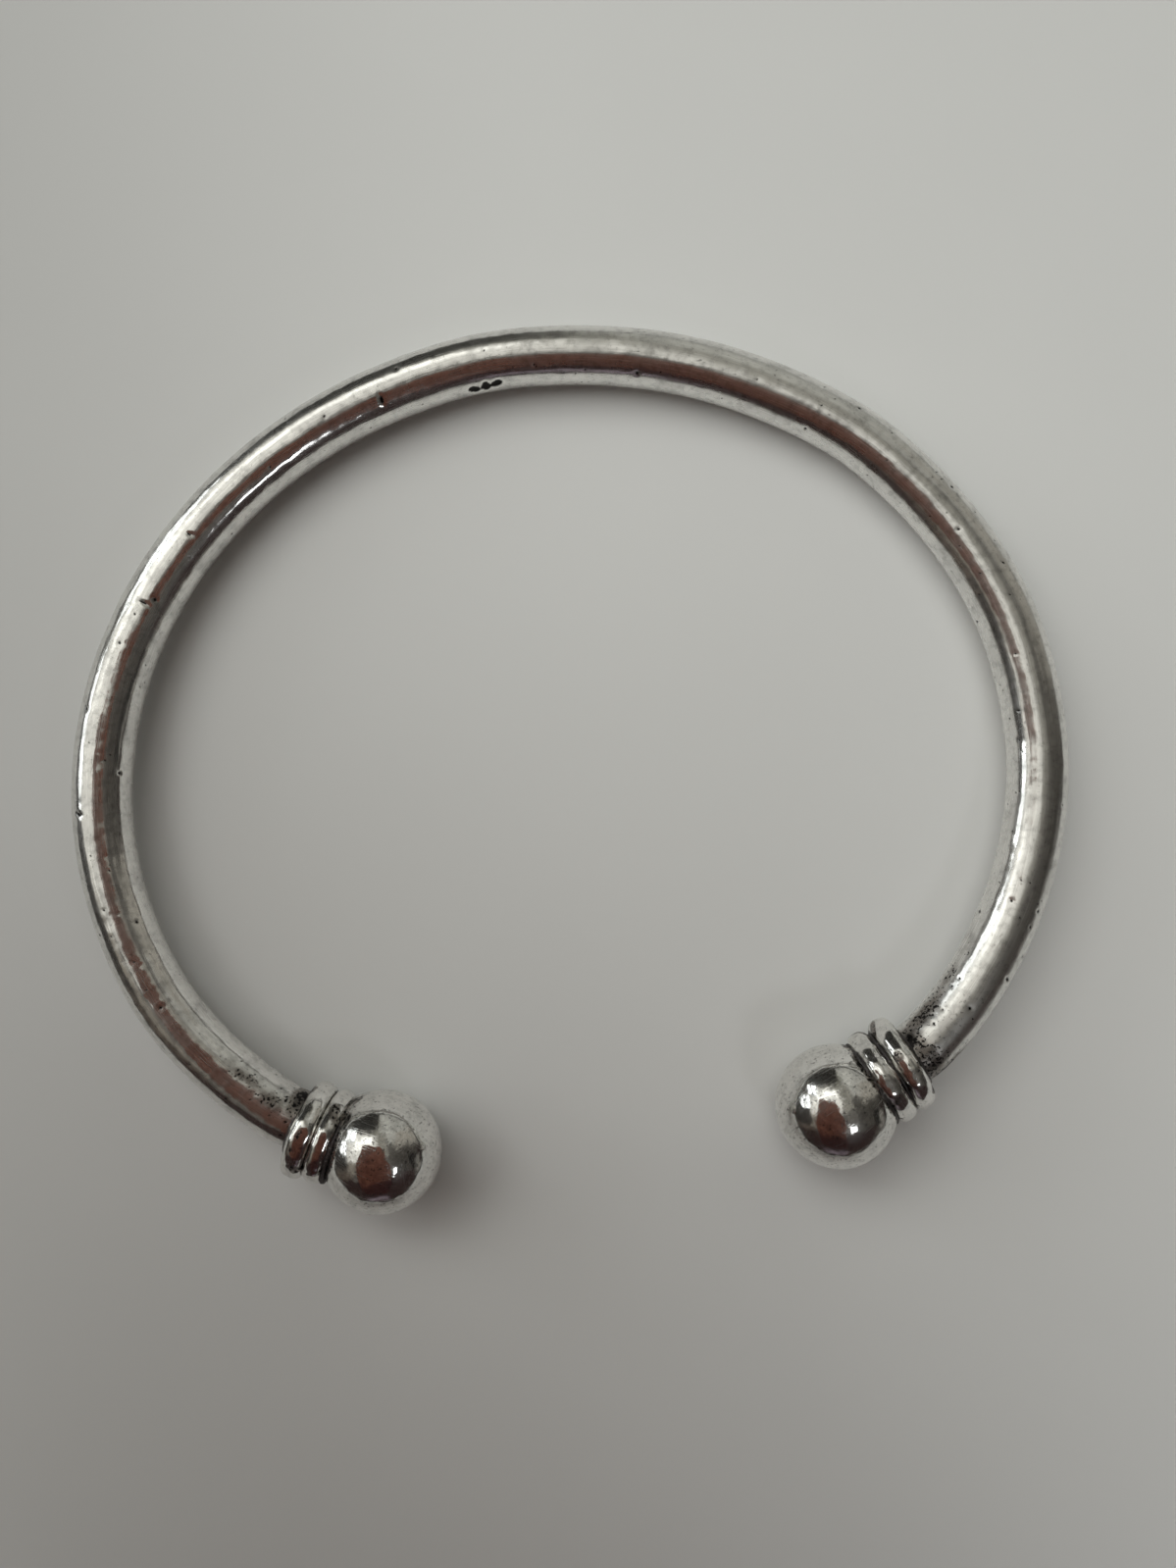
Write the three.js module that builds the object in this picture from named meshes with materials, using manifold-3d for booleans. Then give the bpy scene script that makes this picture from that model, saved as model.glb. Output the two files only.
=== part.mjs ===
// Torque bangle: a round silver rod bent into an open oval, with two wire rings and a ball soldered
// on each end. Millimetres, +Z up. It lies on a level surface as it is put down: the back of the
// rod and both balls touch z = 0, so the ends stand a little higher than the back. +X runs across
// the wrist, the gap between the balls faces -Y, and the origin is under the middle of its box.
import * as THREE from 'three';
import { mergeVertices } from 'three/addons/utils/BufferGeometryUtils.js';
import Module from 'manifold-3d';

const wasm = await Module();
wasm.setup();

const degrees = (angle) => angle * Math.PI / 180;

// Rod, and the oval that its centreline follows
const ROD_RADIUS = 2.2;
const OVAL_HALF_WIDTH = 35.6;
const OVAL_HALF_DEPTH = 31.7;
const SHOULDER = 0.8;                 // moves the widest part of the oval towards the gap
const OVAL_END = degrees(48);         // where the oval stops, below the X axis on each side

// Each end: a short bend inwards, then a straight stub that carries the rings and the ball
const STUB_SLOPE = degrees(27);
const BEND_LEG = 0.6;
const BEND_TO_ROD_RING = 0.7;
const RING_SPACING = 1.88;
const ROD_RING_TO_BALL = 6.3;

// Every bore that the rod passes through: rings, solder and sockets
const BORE_RADIUS = 2.34;

// Wire rings, of a rounded section that is slightly wider along the rod than it is thick
const RING_OUTER_RADIUS = 3.7;
const RING_WIDTH = 1.6;

// Balls, each with a small flat worn where it rests, and drilled for the end of the rod
const BALL_RADIUS = 4.5;
const BALL_FLAT_ANGLE = degrees(7);
const SOCKET_DEPTH = 3;
const SOCKET_END_CLEARANCE = 0.4;

// Hard-solder fillets: where the rod runs into its ring, between the rings, and against the ball.
// Each corner is [radius, distance along the stub from the middle of the ring on the rod side],
// and keeps about 0.1 mm clear of the silver beside it.
const ROD_FILLET = [
  [BORE_RADIUS, -1.5], [2.39, -1.5], [2.48, -1.05], [2.74, -0.9], [2.52, -0.7], [BORE_RADIUS, -0.7],
];
const RING_FILLET = [
  [BORE_RADIUS, 0.49], [2.38, 0.49], [2.76, 0.87], [2.76, 1.01], [2.38, 1.39], [BORE_RADIUS, 1.39],
];
const BALL_FILLET = [
  [3.06, 2.81], [3.22, 2.79], [3.22, 3.02], [3.06, 2.87],
];

// Fineness of the facets
const ROD_SIDES = 24;
const ROD_STEPS = 101;                // odd, so that one row of facets is centred on the back
const TURNED_SIDES = 32;
const RING_SECTION_SIDES = 12;
const BALL_BANDS = 12;

// The oval in the band's own plane: an ellipse, drawn in a little beside the back and let out
// beside the gap. It runs clockwise, seen from above, from the left end round the back.
class Oval extends THREE.Curve {
  getPoint(share, target = new THREE.Vector3()) {
    const angle = THREE.MathUtils.lerp(Math.PI + OVAL_END, -OVAL_END, share);
    const halfWidth = OVAL_HALF_WIDTH - SHOULDER * Math.sin(angle);
    return target.set(halfWidth * Math.cos(angle), OVAL_HALF_DEPTH * Math.sin(angle), 0);
  }
}

const along = (start, direction, distance) => start.clone().addScaledVector(direction, distance);
const mirrored = (point) => new THREE.Vector3(-point.x, point.y, point.z);

// The right-hand end. The left-hand one is its mirror image.
const oval = new Oval();
const stub = new THREE.Vector3(-Math.cos(STUB_SLOPE), -Math.sin(STUB_SLOPE), 0);
const ovalEnd = oval.getPoint(1);
const bendCorner = along(ovalEnd, oval.getTangent(1), BEND_LEG);
const bendEnd = along(bendCorner, stub, BEND_LEG);
const rodRingCentre = along(bendEnd, stub, BEND_TO_ROD_RING);
const ballCentre = along(rodRingCentre, stub, ROD_RING_TO_BALL);
const socketEnd = BALL_RADIUS - SOCKET_DEPTH;
const rodEnd = along(ballCentre, stub, -socketEnd - SOCKET_END_CLEARANCE);

// The band leans back so that the rod's back and both balls rest on one level surface.
const ballRestHeight = BALL_RADIUS * Math.cos(BALL_FLAT_ANGLE);
const rodRestHeight = ROD_RADIUS * Math.cos(Math.PI / ROD_SIDES);
const lean = Math.asin((ballRestHeight - rodRestHeight) / (OVAL_HALF_DEPTH - ballCentre.y));
const ovalCentreHeight = rodRestHeight + OVAL_HALF_DEPTH * Math.sin(lean);
const leanTurn = new THREE.Quaternion().setFromAxisAngle(new THREE.Vector3(1, 0, 0), -lean);

function rodCentreline() {
  const path = new THREE.CurvePath();
  path.add(new THREE.LineCurve3(mirrored(rodEnd), mirrored(bendEnd)));
  path.add(new THREE.QuadraticBezierCurve3(mirrored(bendEnd), mirrored(bendCorner), mirrored(ovalEnd)));
  path.add(oval);
  path.add(new THREE.QuadraticBezierCurve3(ovalEnd, bendCorner, bendEnd));
  path.add(new THREE.LineCurve3(bendEnd, rodEnd));
  return path;
}

// The rod's round section, turned by the lean so that one facet faces straight down at the back.
function rodSection() {
  const corners = [];
  for (let k = 0; k < ROD_SIDES; k += 1) {
    const angle = (k + 0.5) * 2 * Math.PI / ROD_SIDES + lean;
    corners.push(new THREE.Vector2(ROD_RADIUS * Math.cos(angle), ROD_RADIUS * Math.sin(angle)));
  }
  return new THREE.Shape(corners);
}

function bandGeometry() {
  return new THREE.ExtrudeGeometry(rodSection(), { steps: ROD_STEPS, extrudePath: rodCentreline() });
}

// A ring about +Y whose section is an ellipse between the bore and the outer radius.
function ringGeometry() {
  const middle = (RING_OUTER_RADIUS + BORE_RADIUS) / 2;
  const halfThickness = (RING_OUTER_RADIUS - BORE_RADIUS) / 2;
  const section = [];
  for (let k = 0; k <= RING_SECTION_SIDES; k += 1) {
    const angle = (k % RING_SECTION_SIDES) * 2 * Math.PI / RING_SECTION_SIDES;
    const radius = middle + halfThickness * Math.cos(angle);
    section.push(new THREE.Vector2(radius, RING_WIDTH / 2 * Math.sin(angle)));
  }
  return new THREE.LatheGeometry(section, TURNED_SIDES);
}

// A fillet of solder about +Y, turned from the corners of its section.
function filletGeometry(corners) {
  const section = corners.map(([radius, height]) => new THREE.Vector2(radius, height));
  section.push(section[0].clone());
  return new THREE.LatheGeometry(section, TURNED_SIDES);
}

function toSolid(geometry) {
  const bare = geometry.clone();
  bare.deleteAttribute('normal');
  bare.deleteAttribute('uv');
  const merged = mergeVertices(bare, 1e-5);
  const vertProperties = new Float32Array(merged.attributes.position.array);
  const triVerts = new Uint32Array(merged.index.array);
  return new wasm.Manifold(new wasm.Mesh({ numProp: 3, vertProperties, triVerts }));
}

function toGeometry(solid) {
  const { vertProperties, triVerts } = solid.getMesh();
  const geometry = new THREE.BufferGeometry();
  geometry.setAttribute('position', new THREE.BufferAttribute(vertProperties, 3));
  geometry.setIndex(new THREE.BufferAttribute(triVerts, 1));
  geometry.computeVertexNormals();
  return geometry;
}

function turnYTo(direction) {
  return new THREE.Quaternion().setFromUnitVectors(new THREE.Vector3(0, 1, 0), direction);
}

// An upright ball, flat above and below, drilled from the side where the rod comes in.
function ballGeometry(rodSide) {
  const profile = [new THREE.Vector2(0, -ballRestHeight)];
  for (let k = 0; k <= BALL_BANDS; k += 1) {
    const polar = THREE.MathUtils.lerp(Math.PI - BALL_FLAT_ANGLE, BALL_FLAT_ANGLE, k / BALL_BANDS);
    profile.push(new THREE.Vector2(BALL_RADIUS * Math.sin(polar), BALL_RADIUS * Math.cos(polar)));
  }
  profile.push(new THREE.Vector2(0, ballRestHeight));
  const ball = new THREE.LatheGeometry(profile, TURNED_SIDES);
  ball.rotateX(Math.PI / 2);
  const drill = new THREE.CylinderGeometry(BORE_RADIUS, BORE_RADIUS, BALL_RADIUS, TURNED_SIDES);
  drill.translate(0, socketEnd + BALL_RADIUS / 2, 0);
  drill.applyQuaternion(turnYTo(rodSide));
  return toGeometry(toSolid(ball).subtract(toSolid(drill)));
}

const silver = new THREE.MeshStandardMaterial({ color: 0xd8d6d1, roughness: 0.22, metalness: 1 });
const oxidisedSolder = new THREE.MeshStandardMaterial({ color: 0x4a4744, roughness: 0.6, metalness: 0.8 });

function piece(name, geometry, material, position = new THREE.Vector3()) {
  const mesh = new THREE.Mesh(geometry, material);
  mesh.name = name;
  mesh.position.copy(position);
  return mesh;
}

// The rings and fillets threaded on one stub, in order from the rod to the ball.
function threadedPieces(side, place) {
  const order = [
    ['rod_solder', filletGeometry(ROD_FILLET), oxidisedSolder, 0],
    ['rod_ring', ringGeometry(), silver, 0],
    ['ring_solder', filletGeometry(RING_FILLET), oxidisedSolder, 0],
    ['ball_ring', ringGeometry(), silver, RING_SPACING],
    ['ball_solder', filletGeometry(BALL_FILLET), oxidisedSolder, 0],
  ];
  return order.map(([name, geometry, material, distance]) => {
    const centre = place(along(rodRingCentre, stub, distance));
    const threaded = piece(`${side}_${name}`, geometry, material, centre);
    threaded.quaternion.copy(turnYTo(place(stub)));
    return threaded;
  });
}

// The ball stays upright, so only its socket and its place follow the lean of the band.
function ballPiece(side, place) {
  const rodSide = place(stub).negate().applyQuaternion(leanTurn);
  const centre = place(ballCentre).applyQuaternion(leanTurn);
  centre.z += ovalCentreHeight;
  return piece(`${side}_ball`, ballGeometry(rodSide), silver, centre);
}

const leaning = new THREE.Group();
leaning.quaternion.copy(leanTurn);
leaning.position.z = ovalCentreHeight;
leaning.add(piece('band', bandGeometry(), silver));

const bangle = new THREE.Group();
bangle.add(leaning);
for (const [side, place] of [['left', mirrored], ['right', (point) => point.clone()]]) {
  leaning.add(...threadedPieces(side, place));
  bangle.add(ballPiece(side, place));
}

// Bring the middle of the underside of the whole bangle's box to the origin.
const box = new THREE.Box3().setFromObject(bangle, true);
const middle = box.getCenter(new THREE.Vector3());
bangle.position.set(-middle.x, -middle.y, -box.min.z);

export default bangle;
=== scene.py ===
"""A worn silver torque bangle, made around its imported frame: rod, wire rings, balls and solder."""

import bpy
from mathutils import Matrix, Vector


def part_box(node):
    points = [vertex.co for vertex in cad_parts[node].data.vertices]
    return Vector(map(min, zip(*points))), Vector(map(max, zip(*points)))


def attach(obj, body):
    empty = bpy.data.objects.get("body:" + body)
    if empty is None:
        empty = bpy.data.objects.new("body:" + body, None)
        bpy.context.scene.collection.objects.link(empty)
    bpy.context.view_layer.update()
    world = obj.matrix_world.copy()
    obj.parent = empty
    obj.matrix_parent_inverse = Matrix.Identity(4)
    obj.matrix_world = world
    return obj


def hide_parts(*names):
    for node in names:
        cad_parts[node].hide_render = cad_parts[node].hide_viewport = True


bl_info = {
    "name": "Torque bangle",
    "version": (1, 0, 0),
    "blender": (4, 5, 0),
    "location": "3D View > Sidebar > Bangle",
    "description": "Makes the rod, rings, balls and solder of a silver torque bangle, and its stage",
    "category": "Add Mesh",
}

from math import asin, cos, pi, radians, sin

import bpy
import numpy as np
from bpy.props import FloatProperty, FloatVectorProperty, PointerProperty
from bpy.types import Operator, Panel, PropertyGroup
from mathutils import Matrix

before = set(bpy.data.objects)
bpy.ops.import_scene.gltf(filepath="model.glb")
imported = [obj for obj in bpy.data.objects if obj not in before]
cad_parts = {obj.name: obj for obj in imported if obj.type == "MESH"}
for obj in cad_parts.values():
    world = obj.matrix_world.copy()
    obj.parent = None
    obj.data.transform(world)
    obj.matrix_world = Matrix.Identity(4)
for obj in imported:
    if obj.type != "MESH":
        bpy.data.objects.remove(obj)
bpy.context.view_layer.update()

MM = 0.001
SIDES = {"left": -1, "right": 1}

# What the frame says: where the balls stand
LEFT_BALL_LOW, LEFT_BALL_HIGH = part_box("left_ball")
BALL_HEIGHT = (LEFT_BALL_LOW.z + LEFT_BALL_HIGH.z) / 2
BALL_Y = (LEFT_BALL_LOW.y + LEFT_BALL_HIGH.y) / 2
BALL_RADIUS = (LEFT_BALL_HIGH.y - LEFT_BALL_LOW.y) / 2

# Fineness of the surfaces
ROD_STEPS = 1120
ROD_ROUND = 84
RING_STEPS = 230
RING_ROUND = 56
BALL_ROWS = 170
BALL_ROUND = 230
FILLET_STEPS = 160
FILLET_ROUND = 40
LEG_STEPS = 40
OVAL_STEPS = 4000

# The rod rests on one of the frame's flats, and stops short of the middle of each ball
HALF_FLAT = pi / 24
ROD_END_GAP = 1.9 * MM

# The bottom of each ball's socket, from the middle of the ball, and its play round the rod
SOCKET_BOTTOM = 1.5 * MM
SOCKET_PLAY = 0.05 * MM
SOCKET_STEPS = 7

# Ripples of each surface, as (height in millimetres, wavelength in millimetres, seed)
ROD_WAVES = [(0.016, 17, 1), (0.0045, 3.1, 2), (0.0030, 1.3, 3), (0.0014, 0.65, 4)]
DRAWN_STREAKS = [(0.0020, 0.55, 7)]
CORROSION = [(0.012, 0.8, 6)]
RING_WAVES = [(0.040, 3.4, 0), (0.014, 1.2, 10), (0.0045, 0.55, 20)]
BALL_WAVES = [(0.018, 6.5, 0), (0.0060, 2.4, 2), (0.0030, 1.1, 4), (0.0012, 0.55, 8)]
SOLDER_WAVES = [(0.025, 1.3, 0), (0.012, 0.6, 5)]

# How much longer than wide the streaks of the drawn rod are
STREAK_STRETCH = 10

# How square the section of a worn wire ring is: 2 is an ellipse
SQUARENESS = 2.4


# ---------------- sizes, finish and stage values

LENGTH = {"unit": "LENGTH", "precision": 5}
COLOUR = {"size": 3, "subtype": "COLOR", "min": 0, "max": 1}


class BangleSizes(PropertyGroup):
    rod_radius: FloatProperty(
        name="Rod radius",
        description="Radius of the round rod",
        default=2.2 * MM,
        **LENGTH,
    )
    half_width: FloatProperty(
        name="Half width",
        description="Half the width of the oval that the rod's centreline follows",
        default=35.6 * MM,
        **LENGTH,
    )
    half_depth: FloatProperty(
        name="Half depth",
        description="Half the depth of that oval, from back to front",
        default=31.7 * MM,
        **LENGTH,
    )
    shoulder: FloatProperty(
        name="Shoulder",
        description="How far the oval's widest part moves towards the gap",
        default=0.8 * MM,
        **LENGTH,
    )
    oval_end: FloatProperty(
        name="Oval end",
        description="Angle below the X axis where the oval stops on each side",
        default=radians(48),
        subtype="ANGLE",
    )
    stub_slope: FloatProperty(
        name="Stub slope",
        description="Slope of the straight stub under the rings and the ball",
        default=radians(27),
        subtype="ANGLE",
    )
    bend_leg: FloatProperty(
        name="Bend leg",
        description="Length of each leg of the bend between the oval and the stub",
        default=0.6 * MM,
        **LENGTH,
    )
    bend_to_ring: FloatProperty(
        name="Bend to ring",
        description="Distance from the bend to the middle of the first ring",
        default=0.7 * MM,
        **LENGTH,
    )
    ring_to_ball: FloatProperty(
        name="Ring to ball",
        description="Distance from the middle of the first ring to the middle of the ball",
        default=6.3 * MM,
        **LENGTH,
    )
    ring_bore: FloatProperty(
        name="Ring bore",
        description="Inner radius of the wire rings, squeezed onto the rod",
        default=1.85 * MM,
        **LENGTH,
    )
    ball_radius: FloatProperty(
        name="Ball radius",
        description="Radius of the balls",
        default=BALL_RADIUS,
        **LENGTH,
    )


class SilverFinish(PropertyGroup):
    silver: FloatVectorProperty(
        name="Silver",
        description="Colour of the clean polished metal",
        default=(0.86, 0.85, 0.82),
        **COLOUR,
    )
    tarnish: FloatVectorProperty(
        name="Tarnish",
        description="Colour of the thin brown-grey film left in low places",
        default=(0.20, 0.175, 0.155),
        **COLOUR,
    )
    oxide: FloatVectorProperty(
        name="Oxide",
        description="Colour of the black oxide in pits and grooves",
        default=(0.020, 0.018, 0.018),
        **COLOUR,
    )
    roughness: FloatProperty(
        name="Roughness",
        description="Roughness of the clean polished metal",
        default=0.07,
        min=0,
        max=1,
    )
    bloom: FloatProperty(
        name="Bloom",
        description="Share of the surface that fine wear has made matt",
        default=0.20,
        min=0,
        max=1,
    )
    bloom_roughness: FloatProperty(
        name="Bloom roughness",
        description="Roughness of that matt share",
        default=0.36,
        min=0,
        max=1,
    )


class StageValues(PropertyGroup):
    floor: FloatVectorProperty(
        name="Floor",
        description="Colour of the pale card that the bangle lies on",
        default=(0.80, 0.80, 0.78),
        **COLOUR,
    )
    card: FloatVectorProperty(
        name="Overhead card",
        description="Colour of the warm dark card above the bangle",
        default=(0.29, 0.118, 0.085),
        **COLOUR,
    )
    key_size: FloatProperty(
        name="Key size",
        description="Width of the large soft light above and behind the bangle",
        default=0.90,
        unit="LENGTH",
    )
    key_power: FloatProperty(
        name="Key power",
        description="Power of that light, in watts",
        default=2.9,
        min=0,
    )
    brightness: FloatProperty(
        name="Brightness",
        description="Strength of the soft studio light",
        default=1.0,
        min=0,
    )
    camera_height: FloatProperty(
        name="Camera height",
        description="Height of the camera above the floor",
        default=92.86 * MM,
        **LENGTH,
    )
    lens: FloatProperty(
        name="Lens",
        description="Focal length, in millimetres",
        default=26,
        min=1,
    )


# ---------------- shapes


def unit(vectors):
    """Each vector divided by its length."""
    return vectors / np.linalg.norm(vectors, axis=-1, keepdims=True)


def ripple(points, wavelength, seed, waves=40):
    """Smooth bumps of about one height: the sum of plane waves of one wavelength, each
    sin(k . point + phase) in a random direction, scaled so that its spread is one."""
    rng = np.random.default_rng(seed)
    direction = unit(rng.normal(size=(waves, 3)))
    phase = rng.uniform(0, 2 * pi, waves)
    flat = points.reshape(-1, 3) @ (direction.T * (2 * pi / wavelength))
    total = np.sin(flat + phase).sum(axis=1) * (2 / waves) ** 0.5
    return total.reshape(points.shape[:-1])


def lumps(points, waves, seed=0):
    """The sum of a list of ripples, each with its own height, wavelength and seed."""
    return sum(
        height * MM * ripple(points, length * MM, seed + own) for height, length, own in waves
    )


def bell(distance):
    """A smooth hump: one at distance 0, and exp(-distance squared) away from it."""
    return np.exp(-(distance**2))


def grid_mesh(name, rows, along, around, poles=None, shades=None):
    """One closed skin over rows of points. rows[i, j] goes along in i and round in j, and
    closes on itself in j. With poles, a fan closes each end on its pole; with none, it also
    closes in i, as a torus does. along and around are the UV distances of i and of j, and
    shades are values from 0 to 1 that the material reads, by name, one for each point."""
    count, around_count = rows.shape[:2]
    steps = count if poles is None else count - 1
    i, j = np.meshgrid(np.arange(steps), np.arange(around_count), indexing="ij")
    corners = ((0, 0), (1, 0), (1, 1), (0, 1))
    quads = [(i + a) % count * around_count + (j + b) % around_count for a, b in corners]
    quads = np.stack(quads, -1).reshape(-1, 4)
    points = rows.reshape(-1, 3)
    loops = quads.ravel()
    sizes = np.full(len(quads), 4)
    uv = [np.stack([along[i + a], around[j + b]], -1) for a, b in corners]
    uv = np.stack(uv, -2).reshape(-1, 2)
    if poles is not None:
        edge = np.arange(around_count)
        following = (edge + 1) % around_count
        last = (count - 1) * around_count
        first_pole = np.full(around_count, len(points))
        last_pole = first_pole + 1
        first_fan = np.stack([first_pole, edge, following], -1)
        last_fan = np.stack([last_pole, last + following, last + edge], -1)
        fans = np.concatenate([first_fan, last_fan])
        points = np.concatenate([points, np.array(poles, float)])
        loops = np.concatenate([loops, fans.ravel()])
        sizes = np.concatenate([sizes, np.full(len(fans), 3)])
        fan_along = np.repeat([along[0], along[-1]], 3 * around_count)
        fan_around = np.tile(np.repeat(around[:-1], 3), 2)
        uv = np.concatenate([uv, np.stack([fan_along, fan_around], -1)])
    mesh = bpy.data.meshes.new(name)
    mesh.vertices.add(len(points))
    mesh.vertices.foreach_set("co", points.astype(np.float32).ravel())
    mesh.loops.add(len(loops))
    mesh.loops.foreach_set("vertex_index", loops.astype(np.int32))
    starts = np.concatenate([[0], np.cumsum(sizes)[:-1]])
    mesh.polygons.add(len(sizes))
    mesh.polygons.foreach_set("loop_start", starts.astype(np.int32))
    mesh.polygons.foreach_set("use_smooth", np.ones(len(sizes), bool))
    mesh.update(calc_edges=True)
    layer = mesh.uv_layers.new(name="UVMap")
    layer.data.foreach_set("uv", uv.astype(np.float32).ravel())
    for shade, values in (shades or {}).items():
        attribute = mesh.attributes.new(shade, "FLOAT", "POINT")
        full = np.zeros(len(points), np.float32)
        full[: values.size] = values.ravel()
        if poles is not None:
            full[values.size] = values[0].mean()
            full[values.size + 1] = values[-1].mean()
        attribute.data.foreach_set("value", full)
    if mesh.validate():
        raise RuntimeError(f"{name} has a broken face")
    piece = bpy.data.objects.new(name, mesh)
    bpy.context.scene.collection.objects.link(piece)
    return piece


def finish_piece(piece, material, slot, *nodes):
    """Gives a piece its material, hides the nodes it stands for, and rides it on the root."""
    piece.data.materials.append(material)
    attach(piece, "root")
    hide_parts(*nodes)
    return piece


# How far each end was bent away from its true place, in millimetres along X and Y
DRIFT = {"left": (-0.11, 0.21), "right": (0.03, -0.45)}
DRIFT_REACH = 12 * MM

# Flats and shoulders that bending by hand left in the oval, each as (oval angle, half length in
# degrees, how far out in millimetres)
BOWS = [(-33, 12, 0.12), (2, 7, -0.09), (44, 8, 0.16), (94, 8, 0.13), (207, 8, 0.10)]


class Layout:
    """Places worked out from the sizes. The band is drawn flat, with its up along +Z, and
    stand() leans it back so that the rod's back and both balls rest on the floor."""

    def __init__(self, sizes):
        self.sizes = sizes
        self.stub = np.array([-cos(sizes.stub_slope), -sin(sizes.stub_slope)])
        end = self.oval(np.array([-sizes.oval_end]))[0]
        before = self.oval(np.array([-sizes.oval_end + 1e-4]))[0]
        self.oval_end = end
        self.corner = end + unit(end - before) * sizes.bend_leg
        self.bend_end = self.corner + self.stub * sizes.bend_leg
        self.ring = self.bend_end + self.stub * sizes.bend_to_ring
        self.ball = self.ring + self.stub * sizes.ring_to_ball
        rise = BALL_HEIGHT - sizes.rod_radius * cos(HALF_FLAT)
        self.lean = asin(rise / (sizes.half_depth - self.ball[1]))
        self.shift_y = BALL_Y - self.ball[1] * cos(self.lean)
        self.shift_z = BALL_HEIGHT + self.ball[1] * sin(self.lean)

    def oval(self, angle):
        """Ellipse whose half width is less by shoulder times sin(angle)."""
        half_width = self.sizes.half_width - self.sizes.shoulder * np.sin(angle)
        return np.stack([half_width * np.cos(angle), self.sizes.half_depth * np.sin(angle)], -1)

    def bow(self, line, degrees):
        """The centreline moved out by a bell for each bow, and moved at each end by that end's
        drift, which fades with a smooth step over the last stretch."""
        out = sum(size * MM * bell((degrees - at) / spread) for at, spread, size in BOWS)
        line = line + out[:, None] * unit(line)
        reach = np.linalg.norm(np.diff(line, axis=0, prepend=line[:1]), axis=1).cumsum()
        for side, past in (("right", reach), ("left", reach[-1] - reach)):
            near = np.clip(1 - (past - self.sizes.ring_to_ball) / DRIFT_REACH, 0, 1)
            fade = (near * near * (3 - 2 * near))[:, None]
            line = line + fade * np.array(DRIFT[side]) * MM
        return line

    def centreline(self, count):
        """The rod's centreline, anticlockwise from the right end to the left: a stub, a
        quadratic bend, the oval, a bend and a stub, resampled at even distances. Returns the
        points, the distances along it, and the oval's angle in degrees at each point, which
        goes on at an even rate past the oval's ends."""
        sizes = self.sizes
        share = np.linspace(0, 1, LEG_STEPS)[:, None]
        rod_end = self.ball - self.stub * ROD_END_GAP
        stub = rod_end + (self.bend_end - rod_end) * share
        bend = (
            self.bend_end * (1 - share) ** 2
            + self.corner * 2 * share * (1 - share)
            + self.oval_end * share**2
        )
        angle = np.linspace(-sizes.oval_end, pi + sizes.oval_end, OVAL_STEPS)
        mirror = np.array([-1, 1])
        points = np.concatenate(
            [stub, bend[1:], self.oval(angle)[1:], bend[-2::-1] * mirror, stub[-2::-1] * mirror]
        )
        step = np.linalg.norm(np.diff(points, axis=0), axis=1)
        distance = np.concatenate([[0], np.cumsum(step)])
        first = 2 * LEG_STEPS - 2
        last = first + OVAL_STEPS - 1
        lead = np.degrees(np.interp(distance, distance[first : last + 1], angle))
        before = np.maximum(distance[first] - distance, 0)
        after = np.maximum(distance - distance[last], 0)
        lead = lead + np.degrees((after - before) / sizes.half_depth)
        even = np.linspace(0, distance[-1], count)
        line = np.stack([np.interp(even, distance, points[:, k]) for k in (0, 1)], -1)
        degrees = np.interp(even, distance, lead)
        return self.bow(line, degrees), even, degrees

    def stand(self, points):
        """Flat points leaned back about X and set down on the floor, worn flat where they
        would reach below it."""
        x, y, z = points[..., 0], points[..., 1], points[..., 2]
        height = z * cos(self.lean) - y * sin(self.lean) + self.shift_z
        forward = y * cos(self.lean) + z * sin(self.lean) + self.shift_y
        return np.stack([x, forward, np.maximum(height, 0)], -1)

    def along_stub(self, side, radius, height, turn, aside=0.0):
        """Flat points about a stub: radius from its axis, height along it towards the ball
        from where the first ring should be, and turn round it from the outside over the top.
        aside moves the axis out, for a ring that hangs off centre."""
        sign = SIDES[side]
        axis = np.array([self.stub[0] * sign, self.stub[1], 0])
        outward = np.array([-self.stub[1] * sign, self.stub[0], 0])
        outward = outward * (1 if outward[1] < 0 else -1)
        drift = np.array(DRIFT[side]) * MM
        centre = np.array([self.ring[0] * sign + drift[0], self.ring[1] + drift[1], 0])
        centre = centre + outward * aside
        ray = np.cos(turn)[..., None] * outward + np.sin(turn)[..., None] * np.array([0, 0, 1.0])
        return centre + axis * height[..., None] + ray * radius[..., None]


# Marks on the rod, each as (angle round the oval, angle round the rod from the outside over the
# top, half length, half width, depth, slant from the rod's length), in degrees and millimetres
NICKS = [
    (107.5, 120, 0.42, 0.17, 0.100, 85),
    (138.3, 101, 0.36, 0.11, 0.100, -65),
    (149.2, 98, 0.42, 0.11, 0.110, 92),
    (178.8, 62, 0.34, 0.14, 0.110, 70),
    (-36.4, 46, 0.35, 0.16, 0.100, 75),
    (50.3, 48, 0.30, 0.10, 0.080, 60),
    (120.0, 80, 0.50, 0.06, 0.020, 65),
    (162.0, 120, 0.70, 0.05, 0.020, 50),
    (170.5, 104, 0.30, 0.06, 0.030, 85),
    (185.0, 112, 0.35, 0.06, 0.030, 80),
    (193.0, 98, 0.40, 0.06, 0.030, 75),
    (201.0, 106, 0.30, 0.06, 0.030, 95),
    (30.0, 70, 0.50, 0.05, 0.015, 40),
    (70.0, 110, 0.45, 0.06, 0.020, 70),
    (-10.0, 85, 0.60, 0.05, 0.015, 30),
]

# Plain punch dents inside the back, in the same terms
PUNCHES = [
    (92.4, 162, 0.52, 0.32, 0.120, 20),
    (93.9, 165, 0.34, 0.48, 0.140, 0),
    (95.5, 167, 0.52, 0.34, 0.120, -20),
]

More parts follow.
